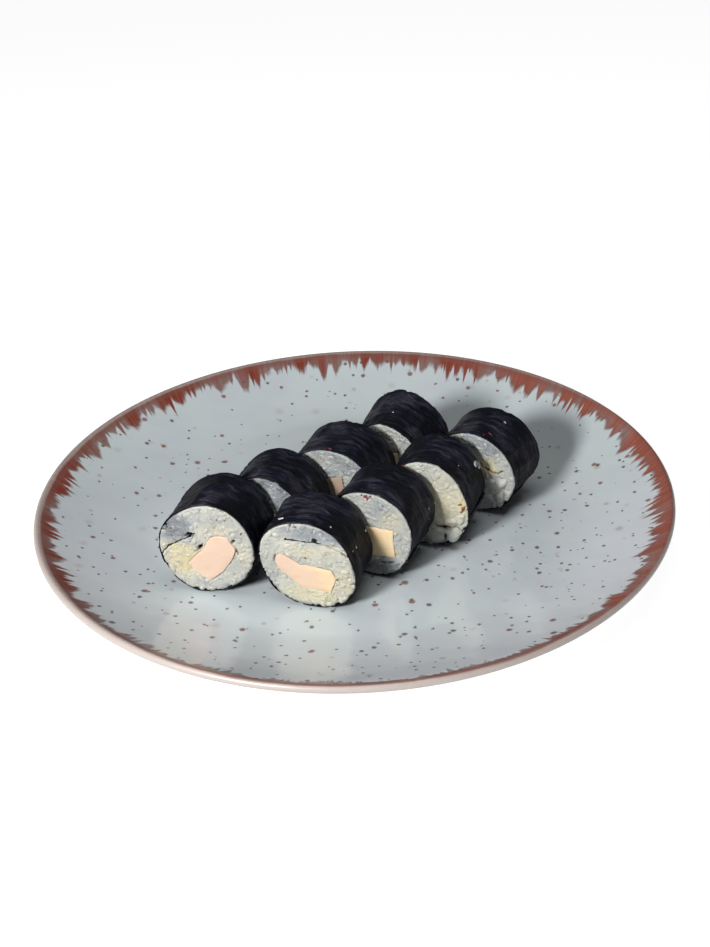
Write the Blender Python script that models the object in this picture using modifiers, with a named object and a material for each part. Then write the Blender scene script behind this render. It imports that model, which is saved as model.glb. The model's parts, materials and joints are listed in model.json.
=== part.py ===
"""Eight cut maki rolls lying in two rows of four on a shallow coupe plate.

The plate is a turned stoneware dish with a foot ring.  Each roll is a nori
sheet wrapped once round a body of rice, with the sheet's inner end turned
into the rice and a block of filling running from one cut face to the other.

Metres, +Z up.  The origin is on the ground under the middle of the plate,
+Y points away from the side that the rolls' front faces look to.
"""
from collections import namedtuple
from math import atan2, cos, hypot, pi, radians, sin

import bmesh
import bpy
from mathutils import Vector

MM = 0.001
GAP = 0.3 * MM                    # air kept between neighbouring solids

# Plate
PLATE_SEGMENTS = 72
LIP_RADIUS = 133.3 * MM           # to the middle of the rounded lip
LIP_HALF = 1.7 * MM               # half of the wall's thickness at the lip
LIP_HEIGHT = 21.3 * MM            # of the lip's middle above the ground
LIP_STEPS = 4
FLOOR_HEIGHT = 8.0 * MM           # of the flat inside
FLOOR_RADIUS = 84.0 * MM          # where the inside starts to rise
FLOOR_THICKNESS = 5.0 * MM
RISE_POWER = 1.6
RISE_STEPS = 5
FOOT_OUTER = 80.0 * MM
FOOT_INNER = 76.0 * MM
FOOT_DRAFT = 1.5 * MM             # each side of the foot ring leans in by this

# Rolls
NORI_THICKNESS = 0.6 * MM
WRAP_STEPS = 40                   # segments once round a roll
TAIL_STEPS = 6                    # segments along the end inside the rice
TAIL_LEAD = 5.0 * MM              # how far the tail still follows the rim
OVERLAP_SHORT = 11.0              # degrees by which the outer end stops short
SLOT_GAP = 0.36 * MM              # air on each side of the tail
SLOT_RUN_OUT = 4.0 * MM           # how far the slot's cutter leaves the rim
CUTTER_REACH = 4.0 * MM           # how far a cutter stands out of both faces
EDGE_WAVE = 0.17 * MM             # unevenness of the nori's cut edges
EDGE_WAVES = (3, 8)               # slow and quick waves round a cut edge
TANGENT_NUDGE = 0.01              # radians either side of a point, for its tangent
RICE_GRID = 7.5 * MM              # spacing of the relief's points
RICE_DOME = 0.7 * MM              # how far a cut face stands out in its middle
RICE_RELIEF = 0.3 * MM            # unevenness of a cut face
RELIEF_ACROSS = 2.3 * MM          # length of the relief's waves over 2 pi
RELIEF_UP = 2.9 * MM
RELIEF_START = 3.0                # the relief is full from a third of the dome up
LOBE_BULGE = 1.5 * MM             # loose grains pushed out under a seam
LOBE_EDGE = 2.0 * MM              # depth over which the bulge sets in
FILLING_STEPS = 12
FILLING_PROUD = 0.25 * MM
FILLING_SQUARENESS = 4.0          # exponent of the block's rounded section

Filling = namedtuple("Filling", "across up width height tilt")
Roll = namedtuple(
    "Roll",
    "name x y turned length half_width half_height tilt three_lobed four_lobed "
    "front_scale seam wrap tail_across tail_up bulge filling",
)

# Places, lengths and half axes are in millimetres, angles in degrees.  "seam"
# is the direction in which the sheet leaves the rim, "wrap" is 1 when the sheet
# runs counter-clockwise from there and -1 when it runs clockwise, and the tail's
# tip and the filling's middle are given from the middle of the section.
ROLLS = (
    Roll("left_1", -58.5, -53.4, 16.2, 25.8, 21.1, 19.5, 47.0, (0.005, 169), (0.018, 100),
         1.0, 198, 1, -6.3, 5.3, 0.0, Filling(3.3, -2.7, 22.0, 12.0, 50.0)),
    Roll("left_2", -37.2, -29.5, 21.5, 25.7, 19.9, 18.8, 1.0, (0.010, 253), (0.014, 0),
         1.0, 338, 1, 3.0, -9.5, 0.0, Filling(-1.0, -1.0, 18.0, 11.0, -8.0)),
    Roll("left_3", -9.9, -8.6, 22.3, 26.8, 20.6, 18.8, 0.0, (0.001, 180), (0.003, 251),
         1.0, 322, 1, 2.0, -11.0, 0.0, Filling(-0.5, -1.0, 15.0, 13.5, 8.0)),
    Roll("left_4", 14.5, 17.2, 26.2, 25.9, 19.8, 19.1, -1.6, (0.013, 302), (0.018, 43),
         0.88, 330, 1, 3.0, -9.0, 0.0, Filling(0.0, -1.0, 16.0, 12.0, 4.0)),
    Roll("right_1", -19.0, -65.9, 16.9, 24.0, 20.9, 18.5, -41.6, (0.010, 0), (0.020, 30),
         1.0, 24, -1, -8.2, 10.9, 0.0, Filling(-0.4, -3.1, 24.5, 9.8, -14.0)),
    Roll("right_2", 5.0, -45.5, 25.0, 25.0, 19.7, 19.3, 6.9, (0.018, 151), (0.010, 84),
         1.0, 324, 1, 4.5, -11.0, 0.3, Filling(2.3, -0.8, 20.0, 12.5, 1.0)),
    Roll("right_3", 28.9, -25.0, 21.2, 25.0, 19.2, 19.8, 8.8, (0.034, 246), (0.007, 196),
         1.0, 338, 1, 5.0, -8.6, 1.0, Filling(-4.5, 0.0, 15.0, 12.0, 5.0)),
    Roll("right_4", 50.8, 0.3, 30.7, 25.9, 20.4, 18.6, -5.7, (0.008, 310), (0.007, 304),
         1.0, 328, 1, 5.0, -10.0, 0.4, Filling(-2.0, -1.5, 15.0, 13.0, 6.0)),
)

COLLECTION_NAME = "maki_platter"
COLORS = {                        # base colour, roughness
    "plate": ((0.50, 0.54, 0.56, 1.0), 0.22),
    "nori": ((0.010, 0.012, 0.018, 1.0), 0.48),
    "rice": ((0.62, 0.62, 0.53, 1.0), 0.55),
    "filling": ((0.86, 0.66, 0.50, 1.0), 0.5),
}


def clear_scene():
    for old in list(bpy.data.objects):
        bpy.data.objects.remove(old, do_unlink=True)


def new_collection(name):
    collection = bpy.data.collections.new(name)
    bpy.context.scene.collection.children.link(collection)
    return collection


def make_material(name, kind):
    color, roughness = COLORS[kind]
    material = bpy.data.materials.new(name)
    material.use_nodes = True
    shader = material.node_tree.nodes["Principled BSDF"]
    shader.inputs["Base Color"].default_value = color
    shader.inputs["Roughness"].default_value = roughness
    shader.inputs["Metallic"].default_value = 0.0
    return material


def add_object(bm, name, collection, kind=None, sharp_angle=30.0):
    """Turn a bmesh into an object; without a kind it is a cutter."""
    mesh = bpy.data.meshes.new(name)
    bm.to_mesh(mesh)
    bm.free()
    obj = bpy.data.objects.new(name, mesh)
    collection.objects.link(obj)
    if kind is None:
        obj.hide_render = True
        obj.display_type = "WIRE"
    else:
        mesh.materials.append(make_material(name, kind))
        mesh.shade_smooth()
        mesh.set_sharp_from_angle(angle=radians(sharp_angle))
    return obj


# ---------------------------------------------------------------- plate

def inside_height(radius):
    """Height of the plate's inner surface at a distance from its axis."""
    if radius <= FLOOR_RADIUS:
        return FLOOR_HEIGHT
    run = (radius - FLOOR_RADIUS) / (LIP_RADIUS - FLOOR_RADIUS)
    return FLOOR_HEIGHT + (LIP_HEIGHT + LIP_HALF - FLOOR_HEIGHT) * run ** RISE_POWER


def plate_profile():
    """Half section, from the top's middle over the lip to the bottom's middle."""
    profile = [(0.0, FLOOR_HEIGHT), (0.5 * FLOOR_RADIUS, FLOOR_HEIGHT)]
    lip_slope = atan2(RISE_POWER * (LIP_HEIGHT - FLOOR_HEIGHT), LIP_RADIUS - FLOOR_RADIUS)
    rise_end = LIP_RADIUS - LIP_HALF * sin(lip_slope)
    step = (rise_end - FLOOR_RADIUS) / RISE_STEPS
    for i in range(RISE_STEPS):
        radius = FLOOR_RADIUS + i * step
        profile.append((radius, inside_height(radius)))
    for i in range(LIP_STEPS + 1):
        angle = pi / 2 + lip_slope - pi * i / LIP_STEPS
        profile.append((LIP_RADIUS + LIP_HALF * cos(angle), LIP_HEIGHT + LIP_HALF * sin(angle)))
    for i in range(RISE_STEPS - 1, 0, -1):
        radius = FLOOR_RADIUS + i * step
        part = i / RISE_STEPS
        wall = FLOOR_THICKNESS + (2 * LIP_HALF - FLOOR_THICKNESS) * part
        slope = lip_slope * part
        profile.append((radius + wall * sin(slope), inside_height(radius) - wall * cos(slope)))
    underside = FLOOR_HEIGHT - FLOOR_THICKNESS
    profile += [
        (FOOT_OUTER + FOOT_DRAFT, underside),
        (FOOT_OUTER, 0.0),
        (FOOT_INNER, 0.0),
        (FOOT_INNER - FOOT_DRAFT, underside),
        (0.0, underside),
    ]
    return profile


def build_plate(collection):
    bm = bmesh.new()
    verts = [bm.verts.new((radius, 0.0, height)) for radius, height in plate_profile()]
    for first, second in zip(verts, verts[1:]):
        bm.edges.new((first, second))
    plate = add_object(bm, "plate", collection, "plate")
    screw = plate.modifiers.new("Turn", "SCREW")
    screw.axis = "Z"
    screw.angle = 2 * pi
    screw.steps = PLATE_SEGMENTS
    screw.render_steps = PLATE_SEGMENTS
    screw.use_merge_vertices = True
    screw.merge_threshold = 0.01 * MM
    screw.use_smooth_shade = True
    return plate


# ---------------------------------------------------------------- rolls

def rim_radius(roll, angle):
    """Distance from the section's middle to the nori's outside, in a direction."""
    turn = angle - radians(roll.tilt)
    a = roll.half_width * MM
    b = roll.half_height * MM
    ellipse = a * b / hypot(b * cos(turn), a * sin(turn))
    swell3, phase3 = roll.three_lobed
    swell4, phase4 = roll.four_lobed
    lobes = swell3 * cos(3 * turn - radians(phase3)) + swell4 * cos(4 * turn - radians(phase4))
    return ellipse * (1 + lobes)


def middle_height(roll):
    """Height of the section's middle above the roll's lowest line."""
    return max(-rim_radius(roll, pi * i / 180) * sin(pi * i / 180) for i in range(360))


def rim_point(roll, angle, inset):
    """Point and counter-clockwise tangent at a depth under the nori's outside."""
    before, point, after = (
        rim_radius(roll, t) * Vector((cos(t), sin(t)))
        for t in (angle - TANGENT_NUDGE, angle, angle + TANGENT_NUDGE)
    )
    tangent = (after - before).normalized()
    outward = Vector((tangent.y, -tangent.x))
    return point - inset * outward, tangent


def tail_path(roll):
    """Middle line of the sheet's inner end in the section, tip first."""
    start, tangent = rim_point(roll, radians(roll.seam), NORI_THICKNESS / 2)
    lead = start - roll.wrap * TAIL_LEAD * tangent
    tip = Vector((roll.tail_across * MM, roll.tail_up * MM))
    path = []
    for i in range(TAIL_STEPS):
        t = 1 - i / TAIL_STEPS
        path.append((1 - t) ** 2 * start + 2 * t * (1 - t) * lead + t ** 2 * tip)
    return path


def sheet_path(roll):
    """Middle line of the nori in the section, from the tail's tip to the outer end."""
    path = tail_path(roll)
    sweep = 2 * pi - radians(OVERLAP_SHORT)
    for i in range(WRAP_STEPS + 1):
        angle = radians(roll.seam) + roll.wrap * sweep * i / WRAP_STEPS
        point, _ = rim_point(roll, angle, NORI_THICKNESS / 2)
        path.append(point)
    return path


def slot_path(roll):
    """Line of the slot for the tail, run on straight out of the rim and past the tip."""
    tail = tail_path(roll)
    start, tangent = rim_point(roll, radians(roll.seam), NORI_THICKNESS / 2)
    beyond = (tail[0] - tail[1]).normalized() * GAP
    return [tail[0] + beyond] + tail[1:] + [start, start + roll.wrap * SLOT_RUN_OUT * tangent]


def squeezed(roll, point, along):
    """Local position of a section point, narrowed towards the front face."""
    scale = roll.front_scale + (1 - roll.front_scale) * along / (roll.length * MM)
    return Vector((point.x * scale, along, (point.y + middle_height(roll)) * scale))


def edge_offset(roll, angle, end):
    """Unevenness of the nori's cut edge round the roll."""
    slow, quick = EDGE_WAVES
    wave = sin(slow * angle + roll.seam + 2 * end) + sin(quick * angle + 3 * end) / 2
    return EDGE_WAVE * wave


def sheet_bmesh(roll, path, reach):
    """Open surface along a path; reach is how far it runs past both cut faces."""
    bm = bmesh.new()
    ends = (-reach, roll.length * MM + reach)
    rows = []
    for point in path:
        angle = atan2(point.y, point.x)
        row = []
        for end, along in enumerate(ends):
            wave = edge_offset(roll, angle, end) if reach == 0 else 0.0
            row.append(bm.verts.new(squeezed(roll, point, along + wave)))
        rows.append(row)
    for (a, b), (c, d) in zip(rows, rows[1:]):
        bm.faces.new((a, c, d, b))
    bmesh.ops.recalc_face_normals(bm, faces=bm.faces)
    return bm


def thicken(obj, thickness):
    solidify = obj.modifiers.new("Thickness", "SOLIDIFY")
    solidify.thickness = thickness
    solidify.offset = 0.0
    solidify.use_even_offset = True


def filling_outline(filling, grow):
    """Rounded block section round the filling's middle."""
    points = []
    tilt = radians(filling.tilt)
    for i in range(FILLING_STEPS):
        t = 2 * pi * (i + 0.5) / FILLING_STEPS
        reach = 1 / (abs(cos(t)) ** FILLING_SQUARENESS
                     + abs(sin(t)) ** FILLING_SQUARENESS) ** (1 / FILLING_SQUARENESS)
        x = (filling.width / 2 * MM + grow) * reach * cos(t)
        y = (filling.height / 2 * MM + grow) * reach * sin(t)
        points.append(Vector((
            filling.across * MM + x * cos(tilt) - y * sin(tilt),
            filling.up * MM + x * sin(tilt) + y * cos(tilt),
        )))
    return points


def prism_bmesh(roll, outline, start, end):
    """Extrude a flat outline along the roll from start to end."""
    bm = bmesh.new()
    face = bm.faces.new([bm.verts.new(squeezed(roll, p, start)) for p in outline])
    made = bmesh.ops.extrude_face_region(bm, geom=[face], use_keep_orig=True)
    for vert, point in zip((v for v in made["geom"] if isinstance(v, bmesh.types.BMVert)), outline):
        vert.co = squeezed(roll, point, end)
    bmesh.ops.recalc_face_normals(bm, faces=bm.faces)
    return bm


def relief(roll, x, y, end):
    """How far a cut face of the rice stands out at a place in the section."""
    reach = hypot(x, y) / rim_radius(roll, atan2(y, x))
    inside = max(0.0, 1 - reach ** 2)
    bumps = sin(x / RELIEF_ACROSS + roll.seam + end) * cos(y / RELIEF_UP + roll.turned)
    edge = min(1.0, RELIEF_START * inside)
    height = RICE_DOME * inside + RICE_RELIEF * bumps * edge
    below_tail = roll.tail_up * MM - y
    if end == 0 and below_tail > 0 and x > 0:
        height += roll.bulge * LOBE_BULGE * min(1.0, below_tail / LOBE_EDGE) * edge
    return height


def rice_bmesh(roll):
    """Body of rice out to the nori, cut on a grid so that its faces have relief."""
    inset = NORI_THICKNESS + GAP
    bm = bmesh.new()
    outline = []
    for i in range(WRAP_STEPS):
        point, _ = rim_point(roll, 2 * pi * i / WRAP_STEPS, inset)
        outline.append(bm.verts.new((point.x, 0.0, point.y)))
    bm.faces.new(outline)
    reach = int(max(roll.half_width, roll.half_height) * MM / RICE_GRID) + 1
    for axis in ((1.0, 0.0, 0.0), (0.0, 0.0, 1.0)):
        for i in range(-reach, reach + 1):
            place = Vector(axis) * (i + 0.5) * RICE_GRID
            geometry = bm.verts[:] + bm.edges[:] + bm.faces[:]
            bmesh.ops.bisect_plane(bm, geom=geometry, dist=0.01 * MM, plane_co=place, plane_no=axis)
    made = bmesh.ops.extrude_face_region(bm, geom=bm.faces[:], use_keep_orig=True)
    back = {v for v in made["geom"] if isinstance(v, bmesh.types.BMVert)}
    for vert in bm.verts:
        x, y = vert.co.x, vert.co.z
        if vert in back:
            along = roll.length * MM + relief(roll, x, y, 1)
        else:
            along = -relief(roll, x, y, 0)
        vert.co = squeezed(roll, Vector((x, y)), along)
    bmesh.ops.recalc_face_normals(bm, faces=bm.faces)
    return bm


def cut(obj, cutter):
    boolean = obj.modifiers.new("Cut " + cutter.name, "BOOLEAN")
    boolean.operation = "DIFFERENCE"
    boolean.solver = "EXACT"
    boolean.object = cutter


def build_roll(roll, parts, cutters):
    holder = bpy.data.objects.new("roll_" + roll.name, None)
    holder.location = (roll.x * MM, roll.y * MM, FLOOR_HEIGHT + GAP)
    holder.rotation_euler = (0.0, 0.0, -radians(roll.turned))
    parts.objects.link(holder)

    sheet = sheet_bmesh(roll, sheet_path(roll), 0.0)
    nori = add_object(sheet, "nori_" + roll.name, parts, "nori")
    thicken(nori, NORI_THICKNESS)

    slot_sheet = sheet_bmesh(roll, slot_path(roll), CUTTER_REACH)
    slot = add_object(slot_sheet, "slot_" + roll.name, cutters)
    thicken(slot, NORI_THICKNESS + 2 * SLOT_GAP)
    core = prism_bmesh(roll, filling_outline(roll.filling, GAP),
                       -CUTTER_REACH, roll.length * MM + CUTTER_REACH)
    hole = add_object(core, "hole_" + roll.name, cutters)

    rice = add_object(rice_bmesh(roll), "rice_" + roll.name, parts, "rice")
    cut(rice, slot)
    cut(rice, hole)

    block = prism_bmesh(roll, filling_outline(roll.filling, 0.0),
                        -RICE_DOME - FILLING_PROUD, roll.length * MM + RICE_DOME + FILLING_PROUD)
    filling = add_object(block, "filling_" + roll.name, parts, "filling")
    for piece in (nori, slot, hole, rice, filling):
        piece.parent = holder


def main():
    clear_scene()
    parts = new_collection(COLLECTION_NAME)
    cutters = new_collection("cutters")
    build_plate(parts)
    for roll in ROLLS:
        build_roll(roll, parts, cutters)


main()
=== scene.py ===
"""Eight cut maki rolls in two rows on a speckled coupe plate, dressed for a still.

Metres, +Z up.  The origin is on the ground under the middle of the plate, and
+Y points away from the side that the rolls' front faces look to.  Each dressed
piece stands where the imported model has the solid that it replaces.
"""
import json
import random
from collections import namedtuple
from math import atan2, cos, hypot, pi, radians, sin

import bmesh
import bpy
from bpy.props import FloatProperty, FloatVectorProperty, IntProperty, PointerProperty
from mathutils import Matrix, Vector, noise

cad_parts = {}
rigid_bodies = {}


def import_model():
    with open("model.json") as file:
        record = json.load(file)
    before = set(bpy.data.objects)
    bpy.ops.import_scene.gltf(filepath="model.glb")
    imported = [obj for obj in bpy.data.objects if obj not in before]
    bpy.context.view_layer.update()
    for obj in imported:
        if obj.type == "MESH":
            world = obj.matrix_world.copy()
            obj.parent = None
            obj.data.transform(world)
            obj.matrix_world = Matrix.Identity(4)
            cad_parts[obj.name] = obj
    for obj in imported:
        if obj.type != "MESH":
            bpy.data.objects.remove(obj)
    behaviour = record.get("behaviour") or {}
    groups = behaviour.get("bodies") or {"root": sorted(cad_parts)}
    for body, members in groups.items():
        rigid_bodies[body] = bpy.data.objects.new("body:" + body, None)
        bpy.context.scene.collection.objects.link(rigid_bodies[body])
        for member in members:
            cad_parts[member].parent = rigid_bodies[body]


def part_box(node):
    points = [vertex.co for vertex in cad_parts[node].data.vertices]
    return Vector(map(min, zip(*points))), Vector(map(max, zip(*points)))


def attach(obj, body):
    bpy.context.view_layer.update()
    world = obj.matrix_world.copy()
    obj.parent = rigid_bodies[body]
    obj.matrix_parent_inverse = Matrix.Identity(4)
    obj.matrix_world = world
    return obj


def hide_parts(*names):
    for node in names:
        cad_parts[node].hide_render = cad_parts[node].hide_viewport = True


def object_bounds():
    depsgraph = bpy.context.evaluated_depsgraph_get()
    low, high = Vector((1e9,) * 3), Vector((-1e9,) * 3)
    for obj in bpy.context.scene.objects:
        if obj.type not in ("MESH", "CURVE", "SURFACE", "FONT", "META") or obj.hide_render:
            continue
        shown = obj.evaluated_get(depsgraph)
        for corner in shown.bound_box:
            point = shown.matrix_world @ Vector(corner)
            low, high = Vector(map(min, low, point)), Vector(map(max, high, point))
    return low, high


bl_info = {
    "name": "Maki platter",
    "version": (1, 0, 0),
    "blender": (4, 5, 0),
    "location": "View3D > Sidebar > Maki",
    "description": "Builds eight maki rolls on a speckled stoneware plate",
    "category": "Add Mesh",
}

for leftover in list(bpy.data.objects):
    bpy.data.objects.remove(leftover, do_unlink=True)

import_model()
CAD_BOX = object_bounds()
PLATE_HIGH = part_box("plate")[1]

MM = 0.001

# ------------ the rolls

Filling = namedtuple("Filling", "across up width height tilt")
Roll = namedtuple(
    "Roll",
    "name x y turned length half_width half_height tilt three_lobed four_lobed "
    "front_scale seam wrap tail_across tail_up bulge filling",
)

# Places, lengths and half axes are in millimetres, angles in degrees.  "seam"
# is the direction in which the sheet leaves the rim, "wrap" is 1 when the sheet
# runs counter-clockwise from there and -1 when it runs clockwise, and the tail's
# tip and the filling's middle are given from the middle of the section.
ROLLS = (
    Roll("left_1", -58.5, -53.4, 16.2, 25.8, 21.1, 19.5, 47, (0.005, 169), (0.018, 100),
         1, 198, 1, -6.3, 5.3, 0, Filling(3.3, -2.7, 22, 12, 50)),
    Roll("left_2", -37.2, -29.5, 21.5, 25.7, 19.9, 18.8, 1, (0.010, 253), (0.014, 0),
         1, 338, 1, 3, -9.5, 0, Filling(-1, -1, 18, 11, -8)),
    Roll("left_3", -9.9, -8.6, 22.3, 26.8, 20.6, 18.8, 0, (0.001, 180), (0.003, 251),
         1, 322, 1, 2, -11, 0, Filling(-0.5, -1, 15, 13.5, 8)),
    Roll("left_4", 14.5, 17.2, 26.2, 25.9, 19.8, 19.1, -1.6, (0.013, 302), (0.018, 43),
         0.88, 330, 1, 3, -9, 0, Filling(0, -1, 16, 12, 4)),
    Roll("right_1", -19, -65.9, 16.9, 24, 20.9, 18.5, -41.6, (0.010, 0), (0.020, 30),
         1, 24, -1, -8.2, 10.9, 0, Filling(-0.4, -3.1, 24.5, 9.8, -14)),
    Roll("right_2", 5, -45.5, 25, 25, 19.7, 19.3, 6.9, (0.018, 151), (0.010, 84),
         1, 324, 1, 4.5, -11, 0.3, Filling(2.3, -0.8, 20, 12.5, 1)),
    Roll("right_3", 28.9, -25, 21.2, 25, 19.2, 19.8, 8.8, (0.034, 246), (0.007, 196),
         1, 338, 1, 5, -8.6, 1, Filling(-4.5, 0, 15, 12, 5)),
    Roll("right_4", 50.8, 0.3, 30.7, 25.9, 20.4, 18.6, -5.7, (0.008, 310), (0.007, 304),
         1, 328, 1, 5, -10, 0.4, Filling(-2, -1.5, 15, 13, 6)),
)

# Corners of the fillings that are seen well, in millimetres: across from the
# section's middle line and up from the roll's lowest line.
CUT_CORNERS = {
    "left_1": (
        (-8, 13.6), (-0.9, 21.6), (2, 26.2), (4.6, 27.5), (9.2, 27.6), (9.9, 26),
        (12.4, 22.3), (10.3, 17), (6.5, 11.7), (0.5, 6.1), (-5.1, 9.7),
    ),
    "right_1": (
        (-12.7, 19.4), (-12.3, 22), (-11.1, 23.5), (-9.2, 23.3), (-2.2, 19.3), (-0.9, 19.7),
        (9.7, 18.4), (11.6, 14.8), (9.1, 8.2), (-1.8, 8.9), (-8, 13.8), (-11.2, 16.4),
    ),
    "right_2": (
        (-7.6, 9.9), (-7.9, 16.5), (-7.4, 22.4), (2.1, 23.2), (11.2, 23.1), (11, 17.5),
        (11.7, 11), (3.3, 10.1),
    ),
}

# Pockets in the front faces, painted dark inside as shade: across, up, half width, half height, tilt.
POCKETS = {
    "left_1": ((-6.4, 26.6, 2.3, 1, 20), (-2.7, 21.2, 2, 0.75, 50),
               (11.2, 25.4, 0.5, 1.7, -38), (12.8, 20.6, 0.3, 1.5, 12)),
    "right_1": ((3.6, 31.2, 1.2, 0.8, 0), (-6.4, 29.9, 1.9, 0.35, -12),
                (-13.1, 21.4, 0.3, 1.5, -12), (15.2, 25.9, 1.6, 0.6, -36),
                (10.6, 28.4, 3.4, 0.3, -22)),
    "right_2": ((9.8, 7.8, 1, 0.45, 10), (6.4, 7.2, 0.8, 0.4, 0), (12.8, 7.4, 0.9, 0.35, 25)),
    "right_3": ((9.1, 5.4, 0.5, 2.2, -10), (10.5, 10.2, 3, 0.6, 8)),
    "right_4": ((7.2, 21.7, 1.4, 0.7, -30), (10.4, 20.7, 2.2, 0.6, -8),
                (13.4, 21.9, 1.6, 0.3, 35), (15.6, 7.2, 0.5, 1.2, 40)),
}

# Big lumps of rice that stand out of a front face: across, up, out, length,
# width, turn in degrees.
LUMPS = {
    "right_3": ((5, 4.8, 0.9, 8.6, 6.6, 15), (13, 6.8, 1.3, 7.6, 5.8, 50),
                (11, 12.7, 1, 7.4, 4.2, 12), (15.4, 14.8, 1, 5.8, 4.4, 70),
                (6.4, 12.4, 0.5, 5.4, 3.2, 0)),
    "right_4": ((13.7, 16.2, 1, 7.4, 5.6, 40), (16.6, 12.4, 0.7, 5, 4.2, 70),
                (8.6, 15.2, 0.7, 7.4, 5.2, 10), (12.4, 9.4, 0.9, 7, 5.2, 60),
                (7.6, 8, 0.5, 6.8, 4.8, 0)),
    "left_2": ((13.6, 26.4, 0.5, 5, 3.2, 40),),
}

# Ovals on the front faces that seasoning has stained: across, up, half width,
# half height, strength.
STAINS = {
    "left_1": ((-10.2, 15, 8.5, 9, 0.85), (5, 30.5, 8, 3, 0.35), (15, 20, 3, 6, 0.3)),
    "right_1": ((2, 6.5, 13, 5.5, 0.6), (-2, 25.5, 9, 3, 0.3), (15, 14, 4, 8, 0.35)),
    "right_2": ((10, 27, 6, 6, 0.3),),
    "right_3": ((9, 23, 11, 12, 0.35), (16.4, 21, 2.6, 5, 0.7)),
    "right_4": ((7.5, 24.5, 4, 4.5, 0.6), (9, 21.4, 5, 2, 0.8)),
}
# Ovals in which the rice is painted greyer and darker, in the same terms: partly glassier rice,
# partly painted shade where a face lies in shadow.
GLASSY_AND_SHADED_OVALS = {
    "left_1": ((-12.5, 28.5, 9, 9, 1.5), (3, 4, 9, 3, 0.5), (0, 34, 15, 6, 0.5)),
    "right_1": ((3, 33.5, 16, 5, 1.3), (-15.5, 16, 5, 11, 0.7)),
    "right_2": ((6, 5, 15, 5.5, 1.2), (6, 31, 9, 6, 0.5)),
    "right_3": ((9, 4, 12, 6, 0.5),),
    "right_4": ((10.5, 20.5, 5, 2.4, 0.7), (9, 5, 6, 4, 0.5), (3, 31, 11, 8, 0.75)),
}

# The slit along a tail is pressed shut from this far across.
TAIL_SHUT = {"right_1": 5, "right_2": 3, "right_4": -20, "left_1": 30}

# How much greyer and darker a roll's rice is painted than the others': painted shade on the rolls
# that lie in shadow.
PAINTED_SHADE_RICE = {"left_2": 1.5, "left_3": 0.9, "left_4": 0.5, "right_2": 0.4, "right_4": 0.5}

# How yellow each filling is in its middle, and how much more at its right side.
YELLOW = {
    "left_1": (0.1, 0.2), "right_1": (0.5, 0.9), "right_2": (0.75, 0.3), "left_3": (0.3, 0.2),
}

# How much darker a filling is painted than the others: painted shade on a filling that lies in
# shadow.
FILLING_SHADE = {"left_3": 0.7}

# Bits lying on the nori, by kind: roll, angle round it in degrees, distance
# from its front, then length, width, height and turn.
SKIN_BITS = {
    "starch_flecks": (
        ("right_1", 122, 4.7, 3, 0.9, 0.5, 12), ("right_1", 61, 3.9, 0.8, 0.6, 0.4, 0),
        ("right_1", 18, 8.5, 1, 0.7, 0.4, 30), ("right_1", 16, 21.5, 0.9, 0.7, 0.4, 0),
        ("right_1", 20, 4.6, 0.7, 0.5, 0.3, 0), ("right_4", 67, 17.4, 1.3, 0.9, 0.5, 20),
        ("right_2", 3, 17.4, 0.8, 0.6, 0.4, 0), ("right_2", 15, 18.5, 0.7, 0.5, 0.3, 0),
        ("left_4", 89, 9.3, 0.9, 0.6, 0.3, 0), ("right_3", 52, 9.5, 0.6, 0.5, 0.3, 0),
    ),
    "red_flecks": (
        ("right_4", 71, 4.8, 2.2, 0.7, 0.3, 15), ("right_4", 76, 2.2, 0.9, 0.5, 0.3, 0),
        ("left_3", 88, 1.4, 2, 0.7, 0.35, 10),
    ),
}

# Bits on the front faces, by kind: roll, across and up, then as above.
FACE_BITS = {
    "red_flecks": (
        ("right_2", -0.4, 36.9, 1.7, 1.1, 1, 20), ("right_2", 0.6, 35.8, 1.2, 0.8, 0.7, 60),
        ("right_2", -2, 37.2, 0.8, 0.5, 0.6, 0), ("right_2", 1.6, 37.3, 0.7, 0.5, 0.6, 0),
        ("right_3", -9.3, 36, 2.2, 0.8, 0.6, 30),
    ),
    "brown_specks": (
        ("left_1", 5.8, 35.3, 0.8, 0.6, 0.4, 0), ("left_1", 8.9, 35.2, 1, 0.5, 0.3, 10),
        ("left_1", -14, 28.9, 0.8, 0.6, 0.3, 0), ("left_1", 15.1, 29.8, 1.3, 0.6, 0.3, 70),
        ("right_1", -0.7, 22.8, 1.1, 0.7, 0.4, 0), ("right_1", -4.1, 36.6, 1.3, 0.7, 0.5, 0),
        ("right_1", 12, 14.9, 1.2, 0.8, 0.5, 40), ("right_3", 16.6, 20.2, 2.2, 1.5, 0.6, 70),
        ("right_3", 15.2, 21.9, 1.6, 1, 0.4, 20), ("right_3", 15.9, 18.6, 1.4, 0.8, 0.4, 60),
        ("right_2", 7, 34, 0.7, 0.5, 0.3, 0),
    ),
}

# Grains that lie on the nori: roll, angle, distance from the front, length,
# width, height and turn.
STRAY_GRAINS = (("right_3", 33, 20.8, 3.6, 2.3, 1.3, 75), ("right_3", 28, 22.6, 3.2, 2.0, 1.2, 30))

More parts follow.
